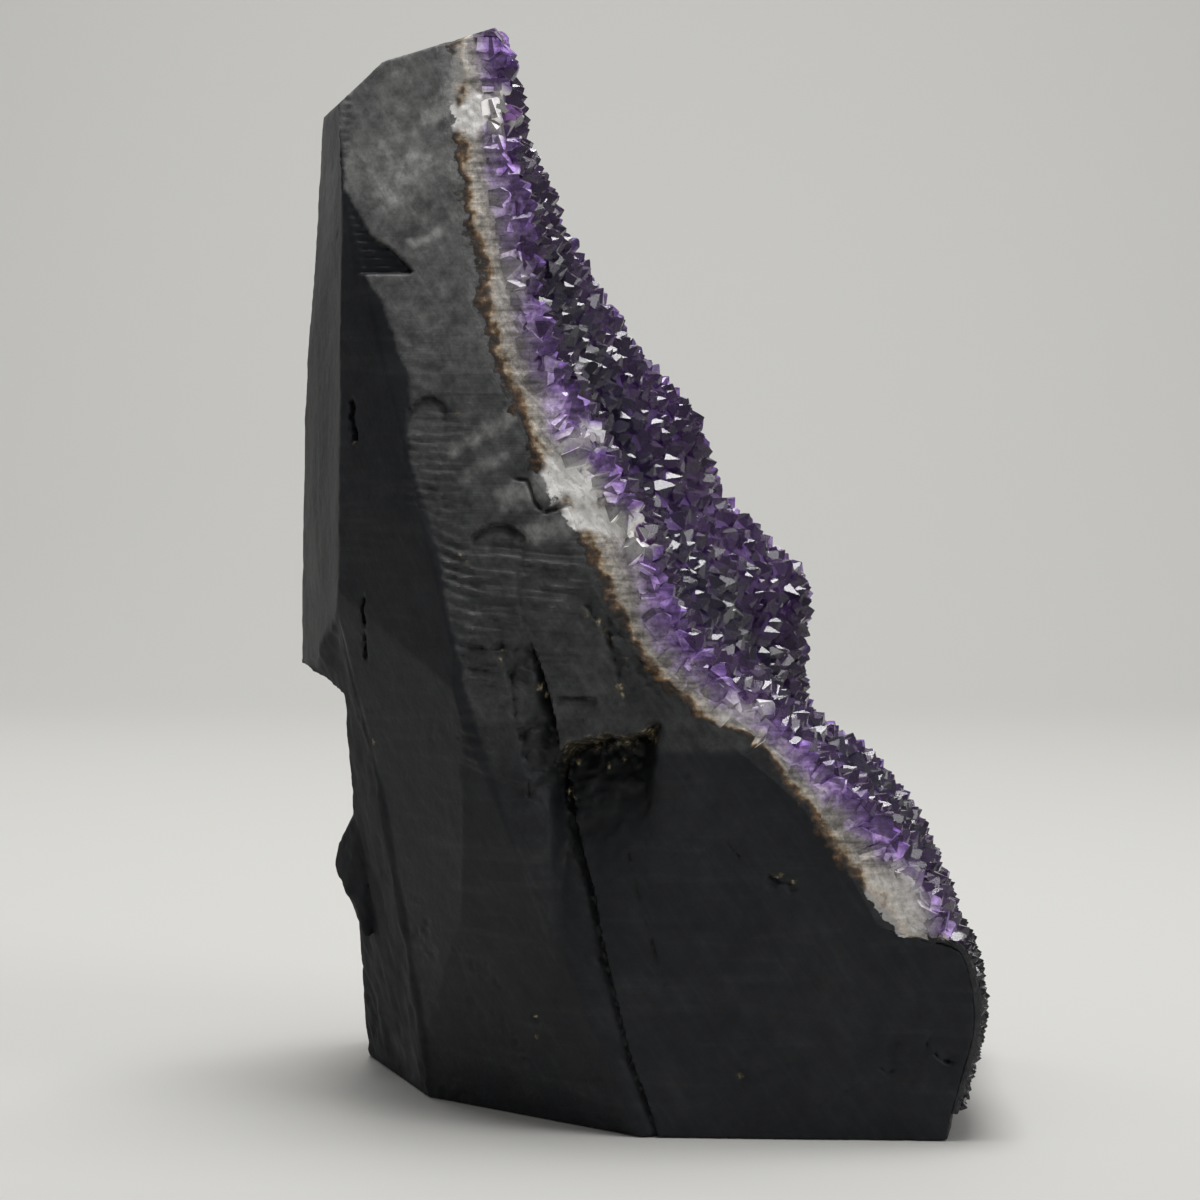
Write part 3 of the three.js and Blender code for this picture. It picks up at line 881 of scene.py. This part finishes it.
def lattice(pitch, low, high, rng):
    """Jittered places over the wall, each with one of nine groups that don't touch."""
    rows = int((high[1] - low[1]) / (pitch * 0.8))
    columns = int((high[0] - low[0]) / pitch)
    for row in range(rows):
        for column in range(columns):
            jitter = rng.uniform(-0.32, 0.32, 2) * pitch
            x = low[0] + (column + 0.5 * (row % 2)) * pitch + jitter[0]
            z = low[1] + row * pitch * 0.8 + jitter[1]
            root = np.array([x, amethyst_front(x, z), z])
            yield row % 3 * 3 + column % 3, root, wall_normal(x, z)


def crystal_places(low, high, seed, pitch, size, proud):
    """Crystals of the hollow, with their tips about level with the wall."""
    rng = np.random.default_rng(seed)
    groups = [[] for _ in range(9)]
    for group, root, normal in lattice(pitch, low, high, rng):
        scale = size * rng.choice([0.78, 1.0, 1.2, 1.42], p=[0.22, 0.45, 0.23, 0.1])
        scale *= 1 + 0.14 * noise(root[None, :], 22, 81)[0]
        tilt = rng.normal(0, 0.17, 3)
        height, turn = rng.uniform(0.92, 1.12), rng.uniform(0, 6.3)
        level = rng.uniform(*proud)
        shape = int(rng.integers(len(SHAPES)))
        inside = max(beyond(FACETS[name], *root) for name in SIDES)
        if inside < -1.8 or (root[2] < 50 and inside < 1):
            root = root + normal * (level - 1.27 * scale)
            groups[group].append((shape, root, normal + tilt, turn, scale, height))
    return groups


SHAPES = crystal_shapes(30)


def join_groups(name, groups):
    """One closed mesh of groups that overlap each other."""
    joined = groups[0]
    for one in groups[1:]:
        combine(joined, one, "UNION")
    joined.name = name
    return joined


def make_crystals():
    groups = crystal_places((-8, 52), (156, 304), 11, **WALL_CRYSTALS)
    groups += crystal_places((6, 8), (152, 53), 12, **FOOT_CRYSTALS)
    grown = [grow(f"group{n}", SHAPES, places) for n, places in enumerate(groups) if places]
    crystals = join_groups("crystal_points", grown)
    combine(crystals, ground_block("envelope", 0.15), "INTERSECT")
    combine(crystals, behind("roots", lambda x, z: layer_front(x, z) + 0.8), "DIFFERENCE")
    p = survey_points(crystals)
    to_grey, _, _ = from_path(GREY_VALLEY, p[:, 0], p[:, 2])
    violet = smooth_step(0.6, 1.7, to_grey / GREY_REACH + 0.5 * noise(p, 12, 86, 2))
    store(crystals, "violet", violet)
    store(crystals, "foot", smooth_step(54, 50, p[:, 2]))
    return crystals


def rim_column(rng, root, normal, gaps, back):
    """Corners of one quartz column that the saw laid open. The back row starts behind the tips
    of the front row and ends where the purple does."""
    axis = normal + rng.normal(0, 0.17, 3)
    axis /= np.linalg.norm(axis)
    across = np.cross(axis, [0, 0.3, 1])
    across /= np.linalg.norm(across)
    along_rim = np.cross(axis, across)
    radius = rng.uniform(*COLUMN_RADIUS)
    start = rng.uniform(0, 1.05)
    tip = root + axis * (rng.uniform(-5.5, -2.5) if back else rng.uniform(-1.6, 0.9))
    planes = []
    for k in range(6):
        turn = start + math.radians(60 * k)
        flat = across * math.cos(turn) + along_rim * math.sin(turn)
        planes.append((flat, flat @ root + radius * rng.uniform(0.8, 1.15)))
        steep = flat * math.sin(POINT_ANGLE) + axis * math.cos(POINT_ANGLE)
        planes.append((steep, steep @ tip + radius * rng.choice([0.0, 0.0, 0.2, 0.45])))
    purple = np.interp(root[2], *np.array(PURPLE_TO).T) * LEAN
    length = purple + rng.uniform(-1.0, 1.5) if back else rng.uniform(4.5, 7.5)
    planes.append((-axis, length - axis @ root))
    middle = root - RIM_MIDDLE * normal
    for name, gap in gaps.items():
        n = outward(*FACETS[name][:2])
        planes.append((n, FACETS[name][2] - 0.06))
        tilted = n + rng.normal(0, 0.30, 3)
        tilted /= np.linalg.norm(tilted)
        planes.append((tilted, tilted @ middle - gap - rng.uniform(0.0, 0.8 if back else 1.6)))
    return convex(planes)


def make_rim_columns():
    rng = np.random.default_rng(31)
    groups = [[] for _ in range(18)]
    for group, root, normal in lattice(COLUMN_PITCH, (-8, 51), (156, 304), rng):
        middle = root - RIM_MIDDLE * normal
        gaps = {name: beyond(FACETS[name], *middle) for name in SIDES}
        nearest = max(gaps.values())
        if -4.6 < nearest < 1.4 and root[2] > LOWEST_COLUMN:
            gaps = {name: gap for name, gap in gaps.items() if gap > -7}
            for back in (0, 1):
                corners = rim_column(rng, root, normal, gaps, back)
                if len(corners) > 5 and np.ptp(corners, axis=0).min() > 0.4:
                    groups[group + 9 * back].append(hull_faces(corners))
    grown = []
    for number, solids in enumerate(one for one in groups if one):
        starts = np.cumsum([0] + [len(v) for v, _ in solids[:-1]])
        faces = np.concatenate([f + start for (_, f), start in zip(solids, starts)])
        grown.append(make_object(f"columns{number}", np.concatenate([v for v, _ in solids]), faces))
    columns = join_groups("rim_columns", grown)
    p = survey_points(columns)
    store(columns, "share", rim_share(p))
    store(columns, "chalk_and_sheen", chalk_and_sheen_share(p))
    return columns


def curtain(name, inner, outer, low, through, dip_in):
    """A closed sheet of stone between two walls, from the near side to the far side and from
    a height up to the crown, with its sawn edges rough. Its edges dip under its neighbours."""
    shape = (30, CURTAIN_ROWS, through)
    grid = np.meshgrid(*(np.linspace(0, 1, n + 1) for n in shape), indexing="ij")
    keep = np.any([(g == 0) | (g == 1) for g in grid], axis=0)
    index = np.full(keep.shape, -1, np.int64)
    index[keep] = np.arange(keep.sum())
    u, v, w = (g[keep] for g in grid)
    x, z = 20 + 100 * u, low + 250 * v
    y = inner(x, z)
    for _ in range(25):
        y = inner(x, z) * (1 - w) + outer(x, z) * w
        x = side_at(NEAR_SIDE, 0, y, z) * (1 - u) + side_at(FAR_SIDE, 0, y, z) * u
        z = low + (side_at(TOP_SIDE, 2, x, y) - low) * v
    p = np.stack([x, y, z], -1)
    share, chalk_and_sheen, recess = rim_share(p), chalk_and_sheen_share(p), rim_recess(p)
    recess = recess + DIP * smooth_step(0.8, 0.0, outer(x, z) - y)
    recess = recess + dip_in * smooth_step(0.8, 0.0, y - inner(x, z))
    p[:, 0] += np.where(u == 0, recess + read_map(NEAR_DEPTH, y, z), 0)
    p[:, 0] -= np.where(u == 1, recess, 0)
    p[:, 2] -= np.where(v == 1, recess, 0)
    quads = []
    for axis in range(3):
        for end in (0, -1):
            sheet = np.take(index, end, axis)
            ring = (sheet[:-1, :-1], sheet[1:, :-1], sheet[1:, 1:], sheet[:-1, 1:])
            quads.append(np.stack(ring, -1).reshape(-1, 4))
    made = make_object(name, p, np.concatenate(quads))
    bm = bmesh.new()
    bm.from_mesh(made.data)
    bmesh.ops.recalc_face_normals(bm, faces=bm.faces)
    bm.to_mesh(made.data)
    bm.free()
    store(made, "share", share)
    store(made, "chalk_and_sheen", chalk_and_sheen)
    store(made, "floor", w == 0)
    store(made, "worn_and_sheen", np.where(u == 0, read_map(NEAR_WEAR_AND_SHEEN, y, z), 0))
    made.data.shade_smooth()
    made.data.set_sharp_from_angle(angle=math.radians(60))
    return made


def make_layer():
    def outer(x, z):
        return rind_front(x, z) + OVERLAP

    return curtain("amethyst_layer", layer_front, outer, CRUST_FOOT, 16, 0)


def make_rind():
    def inner(x, z):
        return rind_front(x, z) - OVERLAP

    def outer(x, z):
        return rock_front(x, z) + 1.6

    return curtain("quartz_rind_skin", inner, outer, RIND_FOOT, 18, DIP)


# Materials

class Material:
    """A new material, with short ways to add nodes to it."""

    def __init__(self, name):
        self.made = bpy.data.materials.new(name)
        self.made.use_nodes = True
        self.tree = self.made.node_tree
        self.shader = self.tree.nodes["Principled BSDF"]
        self.place = self.add("ShaderNodeTexCoord").outputs["Object"]

    def shade(self, inputs):
        """Sets or links the shader's own sockets."""
        for name, value in inputs.items():
            self.feed(self.shader.inputs[name], value)

    def add(self, kind, inputs=None, **settings):
        node = self.tree.nodes.new(kind)
        for key, value in settings.items():
            setattr(node, key, value)
        for key, value in (inputs or {}).items():
            self.feed(node.inputs[key], value)
        return node

    def feed(self, socket, value):
        if isinstance(value, bpy.types.NodeSocket):
            self.tree.links.new(value, socket)
        elif isinstance(value, bpy.types.Node):
            self.tree.links.new(value.outputs[0], socket)
        else:
            socket.default_value = value

    def math(self, operation, *values):
        node = self.add("ShaderNodeMath", operation=operation)
        for socket, value in zip(node.inputs, values):
            self.feed(socket, value)
        return node.outputs[0]

    def plus(self, a, b):
        return self.math("ADD", a, b)

    def times(self, a, b):
        return self.math("MULTIPLY", a, b)

    def noise(self, scale, detail, roughness=0.55, vector=None):
        vector = self.place if vector is None else vector
        inputs = {"Vector": vector, "Scale": scale, "Detail": detail, "Roughness": roughness}
        return self.add("ShaderNodeTexNoise", inputs).outputs["Fac"]

    def range(self, value, low, high, to_low=0.0, to_high=1.0):
        inputs = {"Value": value, "From Min": low, "From Max": high}
        inputs.update({"To Min": to_low, "To Max": to_high})
        return self.add("ShaderNodeMapRange", inputs, clamp=True).outputs["Result"]

    def mix(self, factor, a, b, blend="MIX"):
        node = self.add("ShaderNodeMix", data_type="RGBA", blend_type=blend)
        for index, value in ((0, factor), (6, a), (7, b)):
            self.feed(node.inputs[index], value)
        return node.outputs[2]

    def ramp(self, value, stops):
        node = self.add("ShaderNodeValToRGB", {"Fac": value})
        ramp = node.color_ramp
        while len(ramp.elements) < len(stops):
            ramp.elements.new(0.5)
        for element, (place, colour) in zip(ramp.elements, stops):
            element.position = place
            element.color = (*colour, 1)
        return node.outputs["Color"]

    def tinted(self, colour, tone):
        grey = self.add("ShaderNodeCombineColor", {"Red": tone, "Green": tone, "Blue": tone})
        return self.mix(1.0, colour, grey, "MULTIPLY")

    def attribute(self, name):
        return self.add("ShaderNodeAttribute", attribute_name=name).outputs["Fac"]

    def facet(self):
        """A number from 0 to 1 for each flat face, picked by the way it faces."""
        normal = self.add("ShaderNodeNewGeometry").outputs["True Normal"]
        inputs = {0: normal}
        kind = "ShaderNodeVectorTransform"
        turned = self.add(kind, inputs, vector_type="NORMAL", convert_to="OBJECT")
        inputs = {0: turned, 1: (0.03, 0.03, 0.03)}
        snapped = self.add("ShaderNodeVectorMath", inputs, operation="SNAP")
        return self.add("ShaderNodeTexWhiteNoise", {"Vector": snapped}).outputs["Value"]

    def streaks(self, scales, detail, roughness=0.55, turn=(0, 0, 0), vector=None):
        """Noise with a scale of its own along each axis."""
        vector = self.place if vector is None else vector
        inputs = {"Vector": vector, "Scale": scales, "Rotation": turn}
        stretched = self.add("ShaderNodeMapping", inputs).outputs["Vector"]
        return self.noise(1.0, detail, roughness, stretched)

    def bump(self, height, distance, strength):
        inputs = {"Height": height, "Distance": distance, "Strength": strength}
        return self.add("ShaderNodeBump", inputs).outputs["Normal"]


def coat_colour(t):
    """The black coat, greyer where it is rubbed and where a painted sheen stands for the light
    on the upper near side, with faint level lines there. Also gives its clouds, how far it is
    rubbed and painted with sheen, and the height of its fine marks."""
    cloud = t.noise(30, 6)
    coat = t.ramp(cloud, [
        (0.3, (0.007, 0.008, 0.0103)), (0.5, (0.0115, 0.0127, 0.0155)),
        (0.72, (0.0165, 0.0175, 0.0195)),
    ])
    smear = t.streaks((60, 22, 260), 5)
    coat = t.mix(t.range(smear, 0.52, 0.8, 0, 0.35), coat, (0.040, 0.041, 0.043, 1))
    worn_and_sheen = t.attribute("worn_and_sheen")
    # Paler grey over the coat: rubbed wear, and a painted sheen of the light on the upper near side
    scuff_and_sheen = t.times(worn_and_sheen, t.range(t.noise(240, 8, 0.7), 0.3, 0.68, 0.4, 1.0))
    coat = t.mix(scuff_and_sheen, coat, (0.36, 0.36, 0.35, 1))
    inputs = {"Vector": t.place, "Rotation": (0.6, 0, 0)}
    turned = t.add("ShaderNodeMapping", inputs).outputs["Vector"]
    scratch = t.streaks((90, 560, 60), 3, 0.65, vector=turned)
    coat = t.tinted(coat, t.range(scratch, 0.45, 0.75, 0.97, 1.3))
    mottle = t.noise(120, 7, 0.75)
    coat = t.tinted(coat, t.range(mottle, 0.35, 0.68, 0.82, 1.28))
    lined = t.times(t.range(worn_and_sheen, 0.03, 0.1), t.range(worn_and_sheen, 0.45, 0.3))
    lines = t.range(t.streaks((16, 16, 420), 5, turn=(0.08, 0, 0)), 0.35, 0.65, -1, 1)
    lines = t.times(lines, lined)
    coat = t.tinted(coat, t.plus(1.0, t.times(lines, 0.08)))
    return coat, cloud, scuff_and_sheen, t.plus(t.times(lines, 0.6), mottle)


def rim_colour(t, coat):
    """Colours across the sawn rim: dark purple tips, lavender columns, grey-white quartz, a tan
    skin, and the coat of the rock. Also gives the place across the rim, with a ragged edge."""
    level = t.plus(t.attribute("share"), t.range(t.noise(300, 5), 0.2, 0.8, -0.10, 0.10))
    level = t.plus(level, t.range(t.noise(85, 3), 0.25, 0.75, -0.07, 0.07))
    rim = t.ramp(level, [
        (0.00, (0.055, 0.024, 0.12)), (0.12, (0.14, 0.07, 0.26)), (0.25, (0.29, 0.18, 0.43)),
        (0.37, (0.41, 0.33, 0.49)), (0.45, (0.36, 0.32, 0.35)), (0.58, (0.36, 0.33, 0.31)),
        (0.72, (0.47, 0.43, 0.38)), (0.79, (0.36, 0.28, 0.19)), (0.82, (0.15, 0.088, 0.044)),
        (0.86, (0.05, 0.032, 0.021)), (0.9, (0.02, 0.017, 0.015)),
    ])
    fleck = t.noise(620, 4, 0.7)
    rim = t.tinted(rim, t.range(fleck, 0.28, 0.72, 0.45, 1.6))
    rim = t.tinted(rim, t.range(t.streaks((200, 60, 620), 4), 0.34, 0.66, 0.55, 1.55))
    # White over the rim: chalky quartz, and a painted highlight where the rim shines
    white = t.times(t.attribute("chalk_and_sheen"), t.range(t.noise(260, 5, 0.65), 0.28, 0.42))
    rim = t.mix(white, rim, t.ramp(fleck, [
        (0.28, (0.60, 0.56, 0.50)), (0.45, (0.92, 0.90, 0.87)), (0.7, (0.98, 0.97, 0.95)),
    ]))
    rim = t.mix(t.times(t.attribute("floor"), 0.85), rim, (0.06, 0.024, 0.12, 1))
    return t.mix(t.range(level, 0.895, 0.915), rim, coat), level


def coated_rock():
    t = Material("black_coated_rock")
    coat, cloud, scuff_and_sheen, marks = coat_colour(t)
    shadow = t.range(t.attribute("hollow"), 0.9, 4.5, 0, 0.88)
    coat = t.mix(shadow, coat, (0.005, 0.006, 0.007, 1))
    grit = t.times(t.attribute("broken"), t.range(t.noise(210, 6, 0.7), 0.46, 0.68, 0, 0.7))
    coat = t.mix(grit, coat, (0.02, 0.0195, 0.0185, 1))
    ochre = t.ramp(t.noise(700, 3), [
        (0.35, (0.03, 0.024, 0.014)), (0.5, (0.13, 0.10, 0.05)), (0.68, (0.50, 0.45, 0.32)),
    ])
    druse = t.attribute("druse")
    grains = t.times(druse, t.range(t.noise(480, 3, 0.7), 0.42, 0.6))
    coat = t.mix(t.math("MINIMUM", grains, 0.9), coat, ochre)
    coat = t.mix(t.range(druse, 1.1, 1.8, 0, 0.75), coat, ochre)
    grain = t.noise(850, 3)
    rough = t.range(t.plus(cloud, t.times(grain, 0.4)), 0.35, 1.0, 0.42, 0.60)
    rough = t.math("SUBTRACT", rough, t.times(scuff_and_sheen, 0.16))
    relief = t.plus(t.times(grain, 0.25), t.times(t.noise(260, 6), 0.7))
    relief = t.plus(relief, t.times(marks, 0.35))
    t.shade({
        "Base Color": rim_colour(t, coat)[0],
        "Roughness": t.plus(rough, t.times(t.attribute("broken"), 0.3)),
        "Specular IOR Level": 0.24,
        "Normal": t.bump(relief, 0.0003, 0.8),
    })
    return t.made


def rim_quartz(name, smooth, bump=0.0005, facet_highlights_and_shade=False):
    """The sawn quartz of the rim, with a tone of its own for each facet of a column, picked by the
    way it faces: painted highlights on some facets and painted shade on others.
    """
    t = Material(name)
    colour, level = rim_colour(t, coat_colour(t)[0])
    if facet_highlights_and_shade:
        # Painted highlights and painted shade: each facet lighter or darker by the way it faces
        facet_light_and_shade = [(0.0, (0.35,) * 3), (0.55, (0.85,) * 3), (1.0, (2.0,) * 3)]
        colour = t.tinted(colour, t.ramp(t.facet(), facet_light_and_shade))
    rough = t.range(t.noise(380, 3), 0.3, 0.7, smooth, smooth + 0.3)
    relief = t.plus(t.noise(420, 5, 0.65), t.times(t.noise(1300, 3), 0.35))
    t.shade({
        "Base Color": colour,
        "Roughness": t.plus(rough, t.range(level, 0.85, 0.91, 0, 0.3)),
        "IOR": QUARTZ_IOR,
        "Normal": t.bump(relief, bump, 0.7),
    })
    return t.made


def amethyst():
    """Clear violet quartz, greyer in the valley and dull on the foot."""
    t = Material("amethyst")
    violet = t.plus(t.attribute("violet"), t.range(t.noise(30, 4), 0.3, 0.7, -0.35, 0.35))
    colour = t.ramp(violet, [
        (0.0, (0.33, 0.30, 0.41)), (0.4, (0.38, 0.28, 0.50)), (1.0, (0.47, 0.28, 0.60)),
    ])
    facet = t.facet()
    # Each facet lighter or darker by the way it faces: painted highlights and painted shade
    colour = t.tinted(colour, t.range(facet, 0, 1, 0.45, 1.5))
    smooth = t.range(t.noise(220, 2), 0.3, 0.7, 0.03, 0.10)
    t.shade({
        "Base Color": t.mix(t.times(t.attribute("foot"), 0.9), colour, (0.03, 0.025, 0.04, 1)),
        "Roughness": t.plus(smooth, t.range(facet, 0.75, 1.0, 0, 0.12)),
        "IOR": QUARTZ_IOR,
        "Transmission Weight": 0.93,
        "Normal": t.bump(t.streaks((300, 300, 900), 3), 0.00005, 0.35),
    })
    absorb = t.add("ShaderNodeVolumeAbsorption", {"Color": (0.40, 0.13, 0.56, 1), "Density": 340.0})
    t.feed(t.tree.nodes["Material Output"].inputs["Volume"], absorb)
    return t.made


# The stone

def finish_piece(obj, node, material):
    obj.data.materials.clear()
    obj.data.materials.append(material)
    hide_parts(node)
    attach(obj, "root")


rock = make_rock()
finish_piece(rock, "basalt_rock", coated_rock())
rind = make_rind()
finish_piece(rind, "quartz_rind", rim_quartz("quartz", 0.25))
layer = make_layer()
finish_piece(layer, "amethyst_crust", rim_quartz("purple_quartz", 0.2))
columns = make_rim_columns()
finish_piece(columns, "amethyst_crust", rim_quartz("column_quartz", 0.06, 0.0002, True))
crystals = make_crystals()
finish_piece(crystals, "amethyst_crust", amethyst())


# Studio

AWAY = Vector((0.9659258, 0.2588190, 0))  # the way the camera looks, level
FLOOR_BEND = 0.8
FLOOR_HALF_WIDTH = 3.5
EYE_DISTANCE = 0.710
EYE_HEIGHT = 0.1675
FOCAL = 2737 / 1200  # over the picture's width
SENSOR = 36
DROP = math.atan(100 / 2737)  # how far the camera looks down


def floor():
    """A floor that bends up into the backdrop."""
    t = Material("pale_floor")
    t.shade({"Base Color": (0.60, 0.595, 0.57, 1), "Roughness": 0.7})
    path = [(-3.0, 0.0), (1.4, 0.0)]
    for turn in np.linspace(0, math.pi / 2, 14)[1:]:
        path.append((1.4 + FLOOR_BEND * math.sin(turn), FLOOR_BEND * (1 - math.cos(turn))))
    path.append((2.2, 3.2))
    vertices, faces = [], []
    right = Vector((AWAY.y, -AWAY.x, 0))
    for distance, z in path:
        for side in (-FLOOR_HALF_WIDTH, FLOOR_HALF_WIDTH):
            place = AWAY * distance + right * side
            vertices.append((place.x, place.y, z - 0.0002))
    for i in range(len(path) - 1):
        faces.append((2 * i, 2 * i + 1, 2 * i + 3, 2 * i + 2))
    sweep = make_object("floor_sweep", np.array(vertices), faces, in_row_frame=True)
    sweep.data.materials.append(t.made)
    sweep.data.shade_smooth()


def soft_light(name, place, size, power, target=(0, 0, 0.14)):
    light = bpy.data.lights.new(name, "AREA")
    light.shape = "RECTANGLE"
    light.size, light.size_y = size
    light.energy = power
    lamp = bpy.data.objects.new(name, light)
    lamp.location = place
    aim = Vector(target) - Vector(place)
    lamp.rotation_euler = aim.to_track_quat("-Z", "Y").to_euler()
    bpy.context.scene.collection.objects.link(lamp)


floor()
soft_light("overhead", (0.05, 0.0, 1.6), (0.75, 0.75), 19.5)
soft_light("backdrop", (0.9, 0.25, 1.9), (2.4, 0.5), 19, (2.2, 0.58, 0.8))
soft_light("front_right", (-0.4, -1.4, 1.0), (0.6, 0.8), 5.5)
soft_light("back_left", (0.8, 1.2, 0.8), (0.6, 0.8), 1.3)
world = bpy.data.worlds.new("studio")
world.use_nodes = True
background = world.node_tree.nodes["Background"]
background.inputs["Color"].default_value = (0.95, 0.95, 0.96, 1)
background.inputs["Strength"].default_value = 0.265
bpy.context.scene.world = world
bpy.context.scene.view_settings.view_transform = "Standard"

camera = bpy.data.cameras.new("camera")
camera.sensor_width = SENSOR
camera.lens = FOCAL * SENSOR
camera.clip_start = 0.05
camera.clip_end = 20
viewer = bpy.data.objects.new("camera", camera)
viewer.location = -EYE_DISTANCE * AWAY + Vector((0, 0, EYE_HEIGHT)) - Vector(BASE_CENTRE * 0.001)
aim = AWAY * math.cos(DROP) - Vector((0, 0, math.sin(DROP)))
viewer.rotation_euler = aim.to_track_quat("-Z", "Y").to_euler()
bpy.context.scene.collection.objects.link(viewer)
bpy.context.scene.camera = viewer

bpy.context.view_layer.update()
for piece in (rock, rind, layer, columns, crystals):
    print(piece.name, "triangles", sum(len(f.vertices) - 2 for f in piece.data.polygons))
